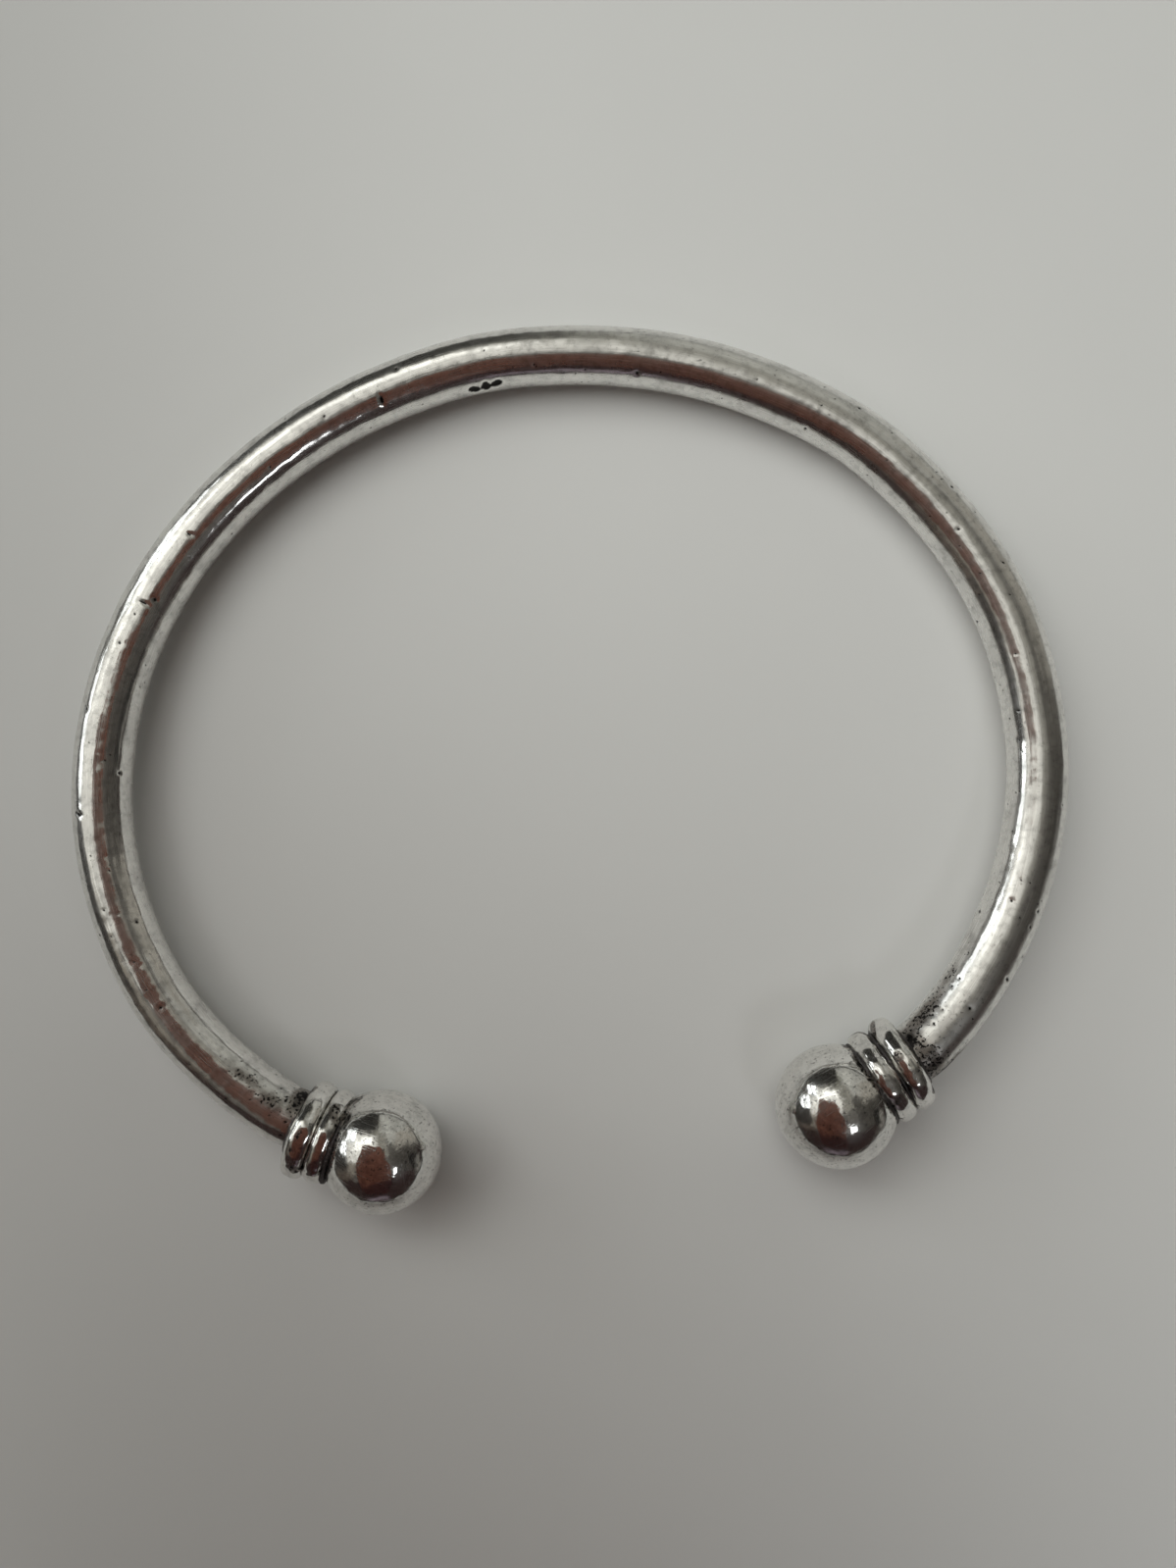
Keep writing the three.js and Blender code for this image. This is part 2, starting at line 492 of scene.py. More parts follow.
# Tarnished or corroded places on the rod, as (angle round the oval, angle round the rod, spread
# along it in millimetres, spread round it in degrees, strength)
STAINS = [
    (230.3, 148, 1.1, 46, 1.45),
    (230.6, 60, 0.5, 60, 0.60),
    (222.0, 122, 2.6, 13, 0.80),
    (226.5, 114, 1.6, 20, 0.90),
    (-49.8, 128, 1.1, 36, 1.40),
    (-49.6, 70, 1.2, 50, 1.05),
    (-46.0, 150, 2.6, 22, 1.10),
    (-48.6, 20, 2.0, 22, 1.40),
    (-44.0, 8, 4.0, 16, 0.90),
    (-41.0, 158, 4.0, 16, 0.60),
]

# Places where the polish has gone, in the same terms
DULL = [
    (-44.0, 90, 6.0, 70, 1.00),
    (-22.0, 60, 12.0, 50, 0.60),
    (15.0, 60, 16.0, 55, 0.75),
    (60.0, 60, 18.0, 50, 0.70),
    (226.0, 130, 3.0, 50, 0.50),
]


def marks_field(marks, along, degrees_round, angle, radius, edge=1.0):
    """The depth of a list of marks at each point of the rod: each is a bell that is long in
    its own direction and narrow across it. An edge above 1 gives it a flat bottom."""
    depth = np.zeros((len(along), len(degrees_round)))
    for oval_angle, round_angle, length, width, deep, slant in marks:
        start = np.interp(oval_angle, angle, along)
        forward = (along - start)[:, None]
        turn = (degrees_round - round_angle + 180) % 360 - 180
        across = (np.radians(turn) * radius)[None, :]
        c, s = cos(radians(slant)), sin(radians(slant))
        u = (forward * c + across * s) / (length * MM)
        v = (across * c - forward * s) / (width * MM)
        depth += deep * MM * bell(np.hypot(u, v) ** edge)
    return depth


def stain_field(stains, along, degrees_round, angle):
    """The strongest stain at each point of the rod, from 0 to 1."""
    shade = np.zeros((len(along), len(degrees_round)))
    for oval_angle, round_angle, spread, turn_spread, strength in stains:
        start = np.interp(oval_angle, angle, along)
        forward = ((along - start) / (spread * MM))[:, None]
        turn = ((degrees_round - round_angle + 180) % 360 - 180) / turn_spread
        shade = np.maximum(shade, strength * bell(np.hypot(forward, turn[None, :])))
    return shade


# Pits in the rod: how many places are tried, the share kept where the rod is clean and what a
# full stain adds to it, the smallest size and what is added at most, and the depth for its size
PIT_TRIES = 9000
PITS_CLEAN = 0.035
PITS_STAINED = 0.42
PIT_SIZE = 0.05 * MM
PIT_SPREAD = 0.17 * MM
PIT_DEPTH = 0.30


def pit_field(along, turn, radius, stain, seed):
    """Small round pits of random size, scattered over the rod and kept most often where it is
    stained. Returns their depth, and how dark each point is with oxide."""
    rng = np.random.default_rng(seed)
    depth = np.zeros((len(along), len(turn)))
    dark = np.zeros_like(depth)
    rows = rng.integers(0, len(along), PIT_TRIES)
    columns = rng.integers(0, len(turn), PIT_TRIES)
    share = PITS_CLEAN + PITS_STAINED * stain[rows, columns]
    keep = rng.uniform(0, 1, PIT_TRIES) < share
    sizes = PIT_SIZE + PIT_SPREAD * rng.uniform(0, 1, PIT_TRIES) ** 2
    reach = 5
    offsets = np.arange(-reach, reach + 1)
    for row, column, size in zip(rows[keep], columns[keep], sizes[keep]):
        near_rows = np.clip(row + offsets, 0, len(along) - 1)
        near_columns = (column + offsets) % len(turn)
        forward = (along[near_rows] - along[row])[:, None]
        swing = (turn[near_columns] - turn[column] + pi) % (2 * pi) - pi
        hump = bell(np.hypot(forward, swing[None, :] * radius) / size)
        spot = np.ix_(near_rows, near_columns)
        depth[spot] = np.maximum(depth[spot], hump * size * PIT_DEPTH)
        dark[spot] = np.maximum(dark[spot], hump)
    return depth, dark


class BANGLE_OT_band(Operator):
    """The rod: a circle carried along the bent centreline, less its waves, nicks and pits"""

    bl_idname = "bangle.band"
    bl_label = "Rod"

    def execute(self, context):
        layout = Layout(context.scene.bangle_sizes)
        radius = layout.sizes.rod_radius
        line, along, angle = layout.centreline(ROD_STEPS)
        turn = np.arange(ROD_ROUND) * 2 * pi / ROD_ROUND
        forward = unit(np.gradient(line, axis=0))
        outward = np.stack([forward[:, 1], -forward[:, 0], np.zeros(len(line))], -1)
        ray = np.cos(turn)[None, :, None] * outward[:, None]
        ray = ray + np.sin(turn)[None, :, None] * np.array([0, 0, 1.0])
        centre = np.concatenate([line, np.zeros((len(line), 1))], -1)[:, None]
        smooth = centre + ray * radius
        unrolled = np.meshgrid(along / STREAK_STRETCH, turn * radius, [0.0], indexing="ij")
        unrolled = np.stack(unrolled, -1)[:, :, 0]
        lift = lumps(smooth, ROD_WAVES) + lumps(unrolled, DRAWN_STREAKS)
        degrees_round = np.degrees(turn)
        stain = stain_field(STAINS, along, degrees_round, angle)
        dull = stain_field(DULL, along, degrees_round, angle)
        pits, dark = pit_field(along, turn, radius, stain, 5)
        nicks = marks_field(NICKS, along, degrees_round, angle, radius)
        punches = marks_field(PUNCHES, along, degrees_round, angle, radius, edge=2.0)
        lift += stain * lumps(smooth, CORROSION)
        rows = centre + ray * (radius + lift - pits - nicks - punches)[..., None]
        oxide = np.clip(dark + punches / (0.07 * MM) + nicks / (0.09 * MM), 0, 1)
        ends = np.stack([centre[0, 0], centre[-1, 0]])
        piece = grid_mesh(
            "band_rod",
            layout.stand(rows),
            np.append(along, along[-1]),
            np.linspace(0, 2 * pi * radius, ROD_ROUND + 1),
            poles=layout.stand(ends),
            shades={"tarnish": stain, "oxide": oxide, "dull": dull},
        )
        finish_piece(piece, silver_material("worn_silver_rod", 1.0, 0.015), "silver", "band")
        return {"FINISHED"}


# Each ring as it came from the hand: outer radius, width and distance from the middle of the
# ball, in millimetres, how far it tips and slants, in degrees, and how far it hangs outwards
RINGS = {
    ("left", "rod_ring"): (3.68, 1.80, 5.66, 0.6, -1.5, 0.38),
    ("left", "ball_ring"): (3.64, 1.54, 4.04, -0.4, -1.0, 0.32),
    ("right", "rod_ring"): (3.66, 1.74, 5.70, -0.6, 3.5, 0.12),
    ("right", "ball_ring"): (3.58, 1.72, 3.98, 0.2, 1.2, 0.10),
}


# The film on a ring: how far below its crest it starts, how much further down it is full, and
# the wavelengths of its patches and blots
FILM_START = 0.26 * MM
FILM_REACH = 0.30 * MM
FILM_PATCH = 1.6 * MM
FILM_BLOT = 1.9 * MM


class BANGLE_OT_rings(Operator):
    """The wire rings: a slightly squared ellipse turned about the stub, with the lumps of
    hand work"""

    bl_idname = "bangle.rings"
    bl_label = "Wire rings"

    def execute(self, context):
        layout = Layout(context.scene.bangle_sizes)
        sizes = layout.sizes
        material = silver_material("worn_silver_rings", 0.6, 0.055)
        turn = np.arange(RING_STEPS) * 2 * pi / RING_STEPS
        section = np.arange(RING_ROUND) * 2 * pi / RING_ROUND
        around, angle = np.meshgrid(section, turn)
        reach = np.abs(np.cos(around)) ** SQUARENESS + np.abs(np.sin(around)) ** SQUARENESS
        square = reach ** (-1 / SQUARENESS)
        for seed, (side, name) in enumerate(RINGS, start=20):
            outer, width, distance, tip, slant, aside = RINGS[side, name]
            outer, width, aside = outer * MM, width * MM, aside * MM
            middle, thick = (outer + sizes.ring_bore) / 2, (outer - sizes.ring_bore) / 2
            radius = middle + thick * np.cos(around) * square
            height = sizes.ring_to_ball - distance * MM + width / 2 * np.sin(around) * square
            height = height + radians(tip) * radius * np.sin(angle)
            height = height + radians(slant) * radius * np.cos(angle)
            smooth = layout.along_stub(side, radius, height, angle, aside)
            lift = lumps(smooth, RING_WAVES, seed)
            outside = (1 + np.cos(around)) / 2
            radius = radius + lift * outside
            height = height + 0.5 * lift * np.sin(around)
            rows = layout.along_stub(side, radius, height, angle, aside)
            low = np.clip((outer - FILM_START - radius) / FILM_REACH, 0, 1)
            patch = np.clip(0.5 + 0.5 * ripple(smooth, FILM_PATCH, seed + 30), 0, 1)
            blot = np.clip(ripple(smooth, FILM_BLOT, seed + 40) - 1.0, 0, 0.8)
            tarnish = np.clip(low * (0.55 + 0.6 * patch) + blot, 0, 1)
            if SIDES[side] > 0:
                rows = rows[::-1]
                tarnish = tarnish[::-1]
            piece = grid_mesh(
                f"{side}_{name}_wire",
                layout.stand(rows),
                np.linspace(0, 2 * pi * outer, RING_STEPS + 1),
                np.linspace(0, 2 * pi * thick, RING_ROUND + 1),
                shades={"tarnish": tarnish, "oxide": 0.7 * tarnish**3},
            )
            finish_piece(piece, material, "silver", f"{side}_{name}")
        return {"FINISHED"}


# Angle that the fan at each ball's pole covers, in radians
POLE_FAN = 0.01

# How far the dark film reaches out over each ball from under its ring, in millimetres, how
# softly it ends, and the wavelength of its blotches
GRIME = {"left": 0.40, "right": 0.10}
GRIME_FADE = 0.22 * MM
GRIME_BLOTCH = 2.0 * MM


class BANGLE_OT_balls(Operator):
    """The balls: a sphere turned about the stub, drilled for the rod, and a little uneven"""

    bl_idname = "bangle.balls"
    bl_label = "Balls"

    def execute(self, context):
        layout = Layout(context.scene.bangle_sizes)
        sizes = layout.sizes
        material = silver_material("worn_silver_balls", 0.45, 0.07)
        bore = sizes.rod_radius + SOCKET_PLAY
        rim = asin(bore / sizes.ball_radius)
        polar = np.linspace(pi - POLE_FAN, rim, BALL_ROWS)
        wall = np.linspace(sizes.ball_radius * cos(rim), SOCKET_BOTTOM, SOCKET_STEPS + 1)[1:]
        wall_radius = np.full(SOCKET_STEPS, bore)
        radius = np.concatenate([sizes.ball_radius * np.sin(polar), wall_radius, [bore / 2]])
        height = np.concatenate([sizes.ball_radius * np.cos(polar), wall, [SOCKET_BOTTOM]])
        outside = np.concatenate([np.ones(BALL_ROWS), np.zeros(SOCKET_STEPS + 1)])[:, None]
        turn = np.arange(BALL_ROUND) * 2 * pi / BALL_ROUND
        for seed, side in enumerate(SIDES, start=60):
            angle, flat_radius = np.meshgrid(turn, radius)
            flat_height = np.repeat(height[:, None], BALL_ROUND, 1)
            centre_height = sizes.ring_to_ball
            smooth = layout.along_stub(side, flat_radius, centre_height - flat_height, angle)
            scale = 1 + outside * lumps(smooth, BALL_WAVES, seed) / sizes.ball_radius
            rows = layout.along_stub(
                side, flat_radius * scale, centre_height - flat_height * scale, angle
            )
            ring = RINGS[side, "ball_ring"]
            covered = (ring[2] - ring[1] / 2 - GRIME[side]) * MM
            near_ring = bell(np.minimum(flat_height - covered, 0) / GRIME_FADE)
            blotch = np.clip(0.55 + 0.4 * ripple(smooth, GRIME_BLOTCH, seed + 6), 0, 1)
            tarnish = np.clip(near_ring * (0.4 + blotch), 0, 1)
            pole_height = centre_height - np.array([-sizes.ball_radius, SOCKET_BOTTOM])
            poles = layout.along_stub(side, np.zeros(2), pole_height, np.zeros(2))
            if SIDES[side] < 0:
                rows = rows[:, ::-1]
                tarnish = tarnish[:, ::-1]
            piece = grid_mesh(
                f"{side}_ball_turned",
                layout.stand(rows),
                np.linspace(0, pi * sizes.ball_radius, len(radius) + 1),
                np.linspace(0, 2 * pi * sizes.ball_radius, BALL_ROUND + 1),
                poles=layout.stand(poles),
                shades={"tarnish": tarnish, "oxide": 0.6 * tarnish**4},
            )
            finish_piece(piece, material, "silver", f"{side}_ball")
        return {"FINISHED"}


# Corners of each fillet's section, in millimetres: radius, and distance along the stub from the
# face of the first ring, the middle of the groove, and the face of the second ring
FILLETS = {
    "rod_solder": [(1.8, -0.3), (2.22, -0.28), (2.34, -0.1), (2.7, 0.1), (2.7, 0.4), (1.8, 0.4)],
    "ring_solder": [(1.8, -0.5), (2.7, -0.4), (3.06, -0.1), (3.06, 0.1), (2.7, 0.4), (1.8, 0.5)],
    "ball_solder": [(1.8, -0.5), (2.7, -0.35), (3.2, -0.15), (3.36, 0.05), (3.2, 0.2), (1.8, 0.1)],
}
# The fillets' middle radius, for their UV
FILLET_RADIUS = 2.6 * MM


class BANGLE_OT_solder(Operator):
    """The solder: each fillet's section turned about the stub, rough and dark with oxide"""

    bl_idname = "bangle.solder"
    bl_label = "Solder fillets"

    def execute(self, context):
        layout = Layout(context.scene.bangle_sizes)
        material = solder_material("oxidised_solder")
        turn = np.arange(FILLET_STEPS) * 2 * pi / FILLET_STEPS
        for side in SIDES:
            first, second = RINGS[side, "rod_ring"], RINGS[side, "ball_ring"]
            slant, aside = radians(first[4] + second[4]) / 2, (first[5] + second[5]) / 2 * MM
            rod_face = -first[2] - first[1] / 2
            groove = (-first[2] + first[1] / 2 - second[2] - second[1] / 2) / 2
            ball_face = -second[2] + second[1] / 2
            places = (rod_face, groove, ball_face)
            for seed, (name, corners), place in zip((80, 81, 82), FILLETS.items(), places):
                loop = np.array(corners + corners[:1]) * MM
                step = np.linalg.norm(np.diff(loop, axis=0), axis=1)
                distance = np.concatenate([[0], np.cumsum(step)])
                even = np.linspace(0, distance[-1], FILLET_ROUND + 1)
                section = [np.interp(even, distance, loop[:, k])[:-1] for k in (0, 1)]
                start = layout.sizes.ring_to_ball + place * MM
                radius, angle = np.meshgrid(section[0], turn)
                height = start + section[1] + slant * radius * np.cos(angle)
                smooth = layout.along_stub(side, radius, height, angle, aside)
                rough = radius + lumps(smooth, SOLDER_WAVES, seed)
                rows = layout.along_stub(side, rough, height, angle, aside)
                if SIDES[side] < 0:
                    rows = rows[::-1]
                piece = grid_mesh(
                    f"{side}_{name}_fillet",
                    layout.stand(rows),
                    np.linspace(0, 2 * pi * FILLET_RADIUS, FILLET_STEPS + 1),
                    even,
                )
                finish_piece(piece, material, "solder", f"{side}_{name}")
        return {"FINISHED"}


# ---------------- materials


class Value:
    """A shader socket in an expression: arithmetic on it adds Math nodes."""

    def __init__(self, shader, socket):
        self.shader = shader
        self.socket = socket

    def math(self, operation, *others):
        return self.shader.node("ShaderNodeMath", {"operation": operation}, (self, *others))

    def __add__(self, other):
        return self.math("ADD", other)

    __radd__ = __add__

    def __sub__(self, other):
        return self.math("SUBTRACT", other)

    def __rsub__(self, other):
        return self.shader.node("ShaderNodeMath", {"operation": "SUBTRACT"}, (other, self))

    def __mul__(self, other):
        return self.math("MULTIPLY", other)

    __rmul__ = __mul__

    def __truediv__(self, other):
        return self.math("DIVIDE", other)

    def clamp(self, low=0, high=1):
        return self.shader.node("ShaderNodeClamp", {}, {"Value": self, "Min": low, "Max": high})

    def above(self, low, high):
        """0 below low, 1 above high, and a smooth step between."""
        return self.shader.node(
            "ShaderNodeMapRange",
            {"interpolation_type": "SMOOTHSTEP"},
            {"Value": self, "From Min": low, "From Max": high},
        )


class Shader:
    """Adds nodes to one tree."""

    def __init__(self, tree):
        self.tree = tree
        tree.nodes.clear()

    def node(self, kind, settings=None, inputs=None, output=0):
        """A node of any type: its settings first, then the values or links of its sockets,
        by name or in order."""
        made = self.tree.nodes.new(kind)
        for name, setting in (settings or {}).items():
            setattr(made, name, setting)
        named = inputs.items() if isinstance(inputs, dict) else enumerate(inputs or ())
        for key, value in named:
            if isinstance(value, Value):
                self.tree.links.new(value.socket, made.inputs[key])
            else:
                made.inputs[key].default_value = value
        return Value(self, made.outputs[output])

    def colour(self, factor, first, second):
        """first where factor is 0 and second where it is 1."""
        settings = {"data_type": "RGBA"}
        inputs = {0: factor, 6: first, 7: second}
        return self.node("ShaderNodeMix", settings, inputs, output=2)

    def noise(self, vector, scale, detail=2.0, roughness=0.5):
        """Noise from 0 to 1 with about scale lumps for each unit of the vector."""
        inputs = {"Vector": vector, "Scale": scale, "Detail": detail, "Roughness": roughness}
        return self.node("ShaderNodeTexNoise", {}, inputs)

    def stretched(self, vector, scale, turn):
        """The vector turned in its own plane and scaled on each axis."""
        inputs = {"Vector": vector, "Scale": scale, "Rotation": (0, 0, turn)}
        return self.node("ShaderNodeMapping", {}, inputs)

    def part(self, vector, axis):
        """One of the three parts of a vector."""
        return self.node("ShaderNodeSeparateXYZ", {}, {0: vector}, output=axis)

    def relief(self, height, strength, depth):
        """A normal tilted by a height, for the Normal socket."""
        inputs = {"Strength": strength, "Distance": depth, "Height": height}
        return self.node("ShaderNodeBump", {}, inputs)

    def metal(self, colour, roughness, bump):
        """A metal surface with its own colour, roughness and relief."""
        inputs = {"Base Color": colour, "Metallic": 1.0, "Roughness": roughness, "Normal": bump}
        return self.node("ShaderNodeBsdfPrincipled", {}, inputs)

    def attribute(self, name):
        """A shade of the piece's own points, and 0 on a piece that hasn't got it."""
        return self.node("ShaderNodeAttribute", {"attribute_name": name}, output="Fac")

    def finish(self, value, kind="ShaderNodeOutputMaterial"):
        """The tree's output, fed by the finished surface."""
        self.tree.links.new(value.socket, self.tree.nodes.new(kind).inputs["Surface"])


# Hair scratches on the unrolled skin: turn from the piece's length, and how often they repeat
# along and across themselves, for each metre
SCRATCHES = [(0.04, 200, 11000), (0.25, 350, 9000), (-1.1, 420, 8000), (0.9, 300, 9500)]


def new_material(name):
    material = bpy.data.materials.new(name)
    material.use_nodes = True
    return material, Shader(material.node_tree)


def rgba(colour):
    return (*colour, 1.0)


def silver_material(name, bloom, speckle):
    """Polished silver: a bright mirror mixed with a matt share, whose balance, colour and fine
    relief vary with hair scratches, a thin tarnish film and black oxide in its pits. bloom
    scales the matt share, and speckle adds small dark specks."""
    finish = bpy.context.scene.silver_finish
    material, shader = new_material(name)
    place = shader.node("ShaderNodeTexCoord", output="Object")
    uv = shader.node("ShaderNodeTexCoord", output="UV")
    tarnish = shader.attribute("tarnish")
    oxide = shader.attribute("oxide")
    dull = shader.attribute("dull")
    grain = shader.noise(place, 5200, detail=3, roughness=0.6)
    cloud = shader.noise(place, 420, detail=3, roughness=0.55)
    patch = shader.noise(place, 1500, detail=5, roughness=0.7)
    speck = shader.noise(place, 4300, detail=3, roughness=0.6)
    scratches = None
    for turn, length, width in SCRATCHES:
        hair = shader.noise(shader.stretched(uv, (length, width, 1), turn), 1.0, detail=1)
        line = hair.above(0.60, 0.74)
        scratches = line if scratches is None else scratches + line
    film = (tarnish * (0.35 + patch * 1.1)).above(0.18, 0.75)
    haze = cloud.above(0.42, 0.70)
    mottle = patch.above(0.46, 0.66)
    spots = (speck + tarnish * 0.13 + dull * 0.03 + speckle).above(0.67, 0.73)
    black = oxide.above(0.35, 0.8) + spots * (0.65 + tarnish) + tarnish.above(0.95, 1.3) * 0.6
    black = black.clamp()
    grey = (haze * 0.26 + mottle * 0.42).clamp()
    worn = shader.colour(grey, rgba(finish.silver), rgba([0.45 * c for c in finish.silver]))
    stained = shader.colour(film * 0.85, worn, rgba(finish.tarnish))
    colour = shader.colour(black, stained, rgba(finish.oxide))
    height = grain * 0.5 - scratches * 0.7 - black * 2.0 - film * 0.6 - mottle * 0.5
    bump = shader.relief(height, 0.35, 0.004 * MM)
    rough = (finish.roughness + haze * 0.04 + scratches * 0.05) * bloom
    rough = rough + film * 0.20 + black * 0.30
    bright = shader.metal(colour, (rough + dull * 0.10).clamp(), bump)
    matt = shader.metal(colour, finish.bloom_roughness, bump)
    share = finish.bloom * bloom * (1 + haze * 0.6) + scratches * 0.10 + dull * 0.45 + film * 0.3
    surface = shader.node("ShaderNodeMixShader", {}, {0: share.clamp(), 1: bright, 2: matt})
    shader.finish(surface)
    return material


def solder_material(name):
    """Oxidised solder: dark and dull, with worn edges that show a little metal."""
    finish = bpy.context.scene.silver_finish
    material, shader = new_material(name)
    place = shader.node("ShaderNodeTexCoord", output="Object")
    grain = shader.noise(place, 3800, detail=4, roughness=0.65)
    worn = grain.above(0.52, 0.72)
    dark = rgba([4.5 * c for c in finish.oxide])
    colour = shader.colour(worn * 0.6, dark, rgba([0.5 * c for c in finish.silver]))
    inputs = {
        "Base Color": colour,
        "Metallic": 0.85,
        "Roughness": (0.55 - worn * 0.2).clamp(),
        "Normal": shader.relief(grain, 0.6, 0.02 * MM),
    }
    surface = shader.node("ShaderNodeBsdfPrincipled", {}, inputs)
    shader.finish(surface)
    return material


# ---------------- stage

# Soft boxes and flags of the studio, far away, each as (middle and half size across and up on
# a round map of the sky whose radius is the angle from straight up in degrees, softness in
# degrees, and the light's colour)
SKY = [
    ((46, 60), (40, 34), 6, (0.34, 0.34, 0.31)),
    ((66, 28), (26, 20), 8, (0.28, 0.265, 0.23)),
    ((54, -12), (27, 26), 11, (0.048, 0.044, 0.038)),
    ((12, 24), (10, 22), 6, (0.24, 0.23, 0.20)),
    ((24, 60), (10, 16), 5, (0.44, 0.44, 0.40)),
    ((44, -62), (26, 14), 7, (0.065, 0.055, 0.048)),
    ((80, -36), (12, 24), 4, (0.20, 0.19, 0.17)),
    ((67, -22), (6, 16), 3, (0.012, 0.011, 0.010)),
    ((83, -10), (5, 20), 3, (0.016, 0.010, 0.009)),
    ((-70, -34), (20, 14), 6, (0.075, 0.060, 0.048)),
    ((-28, 40), (40, 32), 8, (0.19, 0.185, 0.155)),
    ((-50, 0), (10, 26), 5, (0.20, 0.18, 0.15)),
    ((-26, 73), (30, 21), 3, (0.014, 0.013, 0.011)),
    ((-76, 8), (18, 28), 4, (0.018, 0.015, 0.013)),
    ((-74, 52), (18, 12), 5, (0.05, 0.045, 0.035)),
    ((-10, -70), (76, 34), 7, (0.022, 0.013, 0.012)),
    ((-14, -78), (18, 5), 4, (0.16, 0.13, 0.15)),
    ((-28, 22), (31, 23), 7, (0.84, 0.83, 0.77)),
    ((-36, 28), (10, 8), 4, (1.6, 1.6, 1.5)),
    ((-16, 37), (12, 7), 4, (1.6, 1.6, 1.5)),
    ((-52, 45), (9, 11), 1, (2.3, 2.4, 2.4)),
    ((-67, 22), (7, 12), 1, (2.3, 2.4, 2.4)),
]

# Bars across the two brightest boxes, in the same terms
BARS = [((-52, 45), (1.1, 12), 0.5), ((-67, 22), (1.1, 13), 0.5), ((-60, 34), (18, 1.2), 0.5)]
BAR_LIGHT = (0.30, 0.30, 0.28)

# The rest of the studio: the room round the boxes, the line where it meets the floor, and the
# plain backdrop that the camera sees
ROOM_LIGHT = (0.10, 0.095, 0.085)
SKIRTING_LIGHT = (0.02, 0.018, 0.017)
BACKDROP_LIGHT = (0.62, 0.62, 0.61)


def sky_shader(world, brightness):
    """Paints the soft boxes and flags on the sky by direction, with ragged edges and uneven
    light, over a mid grey room."""
    shader = Shader(world.node_tree)
    direction = shader.node("ShaderNodeTexCoord", output="Generated")
    x, y, z = (shader.part(direction, axis) for axis in range(3))
    across = (x * x + y * y).math("SQRT").math("MAXIMUM", 1e-4)
    zenith = z.math("ARCCOSINE") * (180 / pi)
    east = zenith * x / across
    north = zenith * y / across
    ragged_x = shader.noise(direction, 8.0, detail=6, roughness=0.7) - 0.5
    ragged_y = shader.noise(direction, 6.5, detail=6, roughness=0.7) - 0.5
    cloudy = shader.noise(direction, 13.0, detail=5, roughness=0.65)
    colour = rgba(ROOM_LIGHT)
    bars = [(*bar, BAR_LIGHT) for bar in BARS]
    for (mid_x, mid_y), (half_x, half_y), soft, light in SKY + bars:
        wander = 2 + 5 * soft
        dx = (east + ragged_x * wander - mid_x).math("ABSOLUTE")
        dy = (north + ragged_y * wander - mid_y).math("ABSOLUTE")
        inside = (half_x + soft - dx).above(0, 2 * soft) * (half_y + soft - dy).above(0, 2 * soft)
        colour = shader.colour(inside, colour, rgba(light))
    ring = 1 - (zenith - 90).math("ABSOLUTE").above(1.5, 4.5)
    colour = shader.colour(ring, colour, rgba(SKIRTING_LIGHT))
    camera_ray = shader.node("ShaderNodeLightPath", output="Is Camera Ray")
    colour = shader.colour(camera_ray, colour, rgba(BACKDROP_LIGHT))
    uneven = (cloudy - 0.5) * (1 - camera_ray) * 1.6 + 1
    strength = (uneven * brightness).clamp(0, 4)
    light = shader.node("ShaderNodeBackground", {}, {"Color": colour, "Strength": strength})
    shader.finish(light, "ShaderNodeOutputWorld")


# Colours of the painted shade that darkens the floor towards its left, and of the overhead card at
# its far part
# Dark colour of the painted shade mixed into the floor towards its left
PAINTED_SHADE_COLOUR = (0.10, 0.09, 0.08)
FAR_CARD = (0.080, 0.030, 0.030)


def floor_material(colour):
    """A pale, matt card with faint mottling and a trace of grain, and painted shade that makes it
    a little darker towards its left."""
    material, shader = new_material("pale_card")
    place = shader.node("ShaderNodeTexCoord", output="Object")
    mottle = shader.noise(place, 60, detail=4, roughness=0.5)
    grain = shader.noise(place, 2400, detail=2)
    # Painted shade: the floor's colour darkens towards its left, in place of the lower light there
    left_painted_shade = 1 - shader.part(place, 0).above(-52 * MM, 10 * MM)
    clean = shader.colour(mottle, rgba([0.97 * c for c in colour]), rgba(colour))
    inputs = {
        "Base Color": shader.colour(left_painted_shade * 0.28, clean, rgba(PAINTED_SHADE_COLOUR)),
        "Roughness": 0.75,
        "Specular IOR Level": 0.12,
        "Normal": shader.relief(grain, 0.1, 0.01 * MM),
    }
    surface = shader.node("ShaderNodeBsdfPrincipled", {}, inputs)
    shader.finish(surface)
    return material


def card_material(colour):
    """Warm dark board, cloudy, and almost black beyond its near part."""
    material, shader = new_material("overhead_card")
    place = shader.node("ShaderNodeTexCoord", output="Object")
    cloud = shader.noise(place, 60, detail=6, roughness=0.7)
    ragged = shader.part(place, 1) + (cloud - 0.5) * (60 * MM)
    near = ragged.above(-135 * MM, -100 * MM)
    lit = shader.colour(cloud.above(0.36, 0.66), rgba([0.5 * c for c in colour]), rgba(colour))
    tone = shader.colour(near, rgba(FAR_CARD), lit)
    surface = shader.node("ShaderNodeBsdfDiffuse", {}, {"Color": tone})
    shader.finish(surface)
    return material


def glow_material(light):
    """A small opening that lets bright light down on the metal."""
    material, shader = new_material("glow")
    surface = shader.node("ShaderNodeEmission", {}, {"Color": rgba(light)})
    shader.finish(surface)
    return material


def aimed(azimuth, zenith, distance):
    """Where a light stands at a direction and distance from the origin, facing the origin."""
    turn = Matrix.Rotation(radians(azimuth - 90), 4, "Z")
    tilt = Matrix.Rotation(-radians(zenith), 4, "X")
    return turn @ tilt @ Matrix.Translation((0, 0, distance))


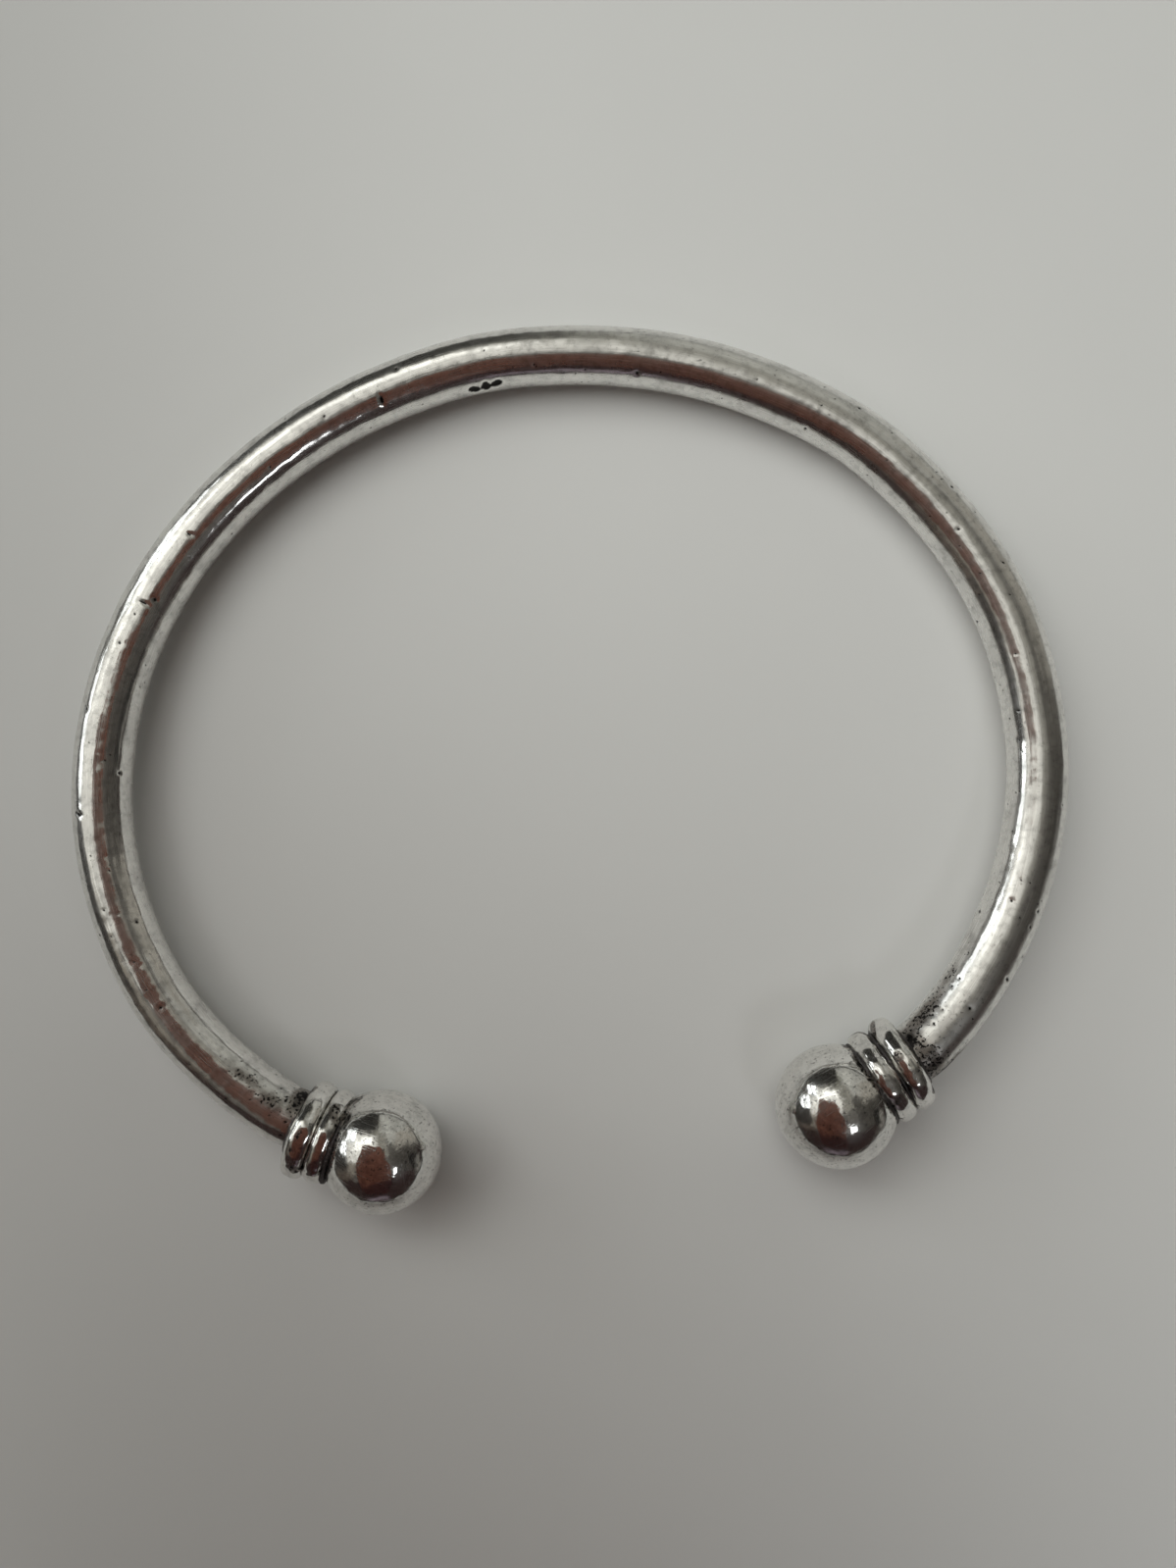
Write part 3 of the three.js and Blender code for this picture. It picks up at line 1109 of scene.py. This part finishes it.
def sheet(name, outline, height, material, seen=True):
    """A flat outline in millimetres at one height, facing up. One that isn't seen is only
    mirrored in the metal."""
    mesh = bpy.data.meshes.new(name)
    corners = [(x * MM, y * MM, height) for x, y in outline]
    mesh.from_pydata(corners, [], [tuple(range(len(corners)))])
    mesh.materials.append(material)
    made = bpy.data.objects.new(name, mesh)
    made.visible_camera = seen
    bpy.context.scene.collection.objects.link(made)


# Outlines of the stage's flat sheets, anticlockwise from above, in millimetres
FLOOR_OUTLINE = [(-3000, -3000), (3000, -3000), (3000, 3000), (-3000, 3000)]
CARD_OUTLINE = [(-110, -240), (22, -240), (22, -46), (12, -28), (12, -10), (0, 9)]
CARD_OUTLINE += [(-30, 12), (-42, 20), (-59, 20), (-66, -4), (-86, -32), (-94, -60)]
GLOW_OUTLINE = [(33, -100), (59, -100), (59, -74), (33, -74)]

# Heights of the overhead card and the opening above the camera, and the opening's light
CARD_ABOVE = 2 * MM
GLOW_ABOVE = 5 * MM
GLOW_LIGHT = (4.2, 4.3, 4.4)

# The key light: azimuth and angle from straight up in degrees, distance in metres, and colour
KEY_PLACE = (125, 26, 0.8)
KEY_COLOUR = (0.97, 1.0, 1.0)

# The camera's place over the floor and its turns about Z, X and Y in degrees, and its sensor's
# width in millimetres
CAMERA_X = 4.15 * MM
CAMERA_Y = -4.74 * MM
CAMERA_TURNS = {"Z": -7.30, "X": 1.055, "Y": 1.718}
SENSOR_WIDTH = 34.6


class BANGLE_OT_stage(Operator):
    """The stage: a pale floor, a warm card overhead, soft light all round, and the camera"""

    bl_idname = "bangle.stage"
    bl_label = "Stage"

    def execute(self, context):
        scene = context.scene
        stage = scene.stage_values
        card_height = stage.camera_height + CARD_ABOVE
        glow_height = stage.camera_height + GLOW_ABOVE
        sheet("floor", FLOOR_OUTLINE, 0.0, floor_material(stage.floor))
        sheet("overhead_card", CARD_OUTLINE, card_height, card_material(stage.card), seen=False)
        sheet("warm_gap", GLOW_OUTLINE, glow_height, glow_material(GLOW_LIGHT), seen=False)
        key = bpy.data.objects.new("key", bpy.data.lights.new("key", "AREA"))
        key.data.shape = "DISK"
        key.data.size = stage.key_size
        key.data.energy = stage.key_power
        key.data.color = KEY_COLOUR
        key.matrix_world = aimed(*KEY_PLACE)
        key.visible_glossy = False
        scene.collection.objects.link(key)
        world = bpy.data.worlds.new("studio")
        world.use_nodes = True
        sky_shader(world, stage.brightness)
        scene.world = world
        camera = bpy.data.objects.new("camera", bpy.data.cameras.new("camera"))
        camera.data.lens = stage.lens
        camera.data.sensor_width = SENSOR_WIDTH
        camera.data.clip_start = 1 * MM
        pose = Matrix.Translation((CAMERA_X, CAMERA_Y, stage.camera_height))
        for axis, degrees in CAMERA_TURNS.items():
            pose = pose @ Matrix.Rotation(radians(degrees), 4, axis)
        camera.matrix_world = pose
        scene.collection.objects.link(camera)
        scene.camera = camera
        scene.view_settings.view_transform = "Standard"
        return {"FINISHED"}


class BANGLE_PT_panel(Panel):
    """Lists the bangle's pieces and its stage"""

    bl_idname = "BANGLE_PT_panel"
    bl_label = "Torque bangle"
    bl_space_type = "VIEW_3D"
    bl_region_type = "UI"
    bl_category = "Bangle"

    def draw(self, context):
        layout = self.layout
        for group in ("bangle_sizes", "silver_finish", "stage_values"):
            values = getattr(context.scene, group)
            for name in values.bl_rna.properties.keys():
                if name not in {"rna_type", "name"}:
                    layout.prop(values, name)
        for operator in OPERATORS:
            layout.operator(operator.bl_idname)


OPERATORS = (
    BANGLE_OT_stage,
    BANGLE_OT_band,
    BANGLE_OT_rings,
    BANGLE_OT_balls,
    BANGLE_OT_solder,
)
GROUPS = {
    "bangle_sizes": BangleSizes,
    "silver_finish": SilverFinish,
    "stage_values": StageValues,
}
CLASSES = (*GROUPS.values(), *OPERATORS, BANGLE_PT_panel)


def register():
    for made in CLASSES:
        bpy.utils.register_class(made)
    for name, group in GROUPS.items():
        setattr(bpy.types.Scene, name, PointerProperty(type=group))


def unregister():
    for name in GROUPS:
        delattr(bpy.types.Scene, name)
    for made in reversed(CLASSES):
        bpy.utils.unregister_class(made)


def main():
    register()
    bpy.ops.bangle.stage()
    bpy.ops.bangle.band()
    bpy.ops.bangle.rings()
    bpy.ops.bangle.balls()
    bpy.ops.bangle.solder()


if __name__ == "__main__":
    main()
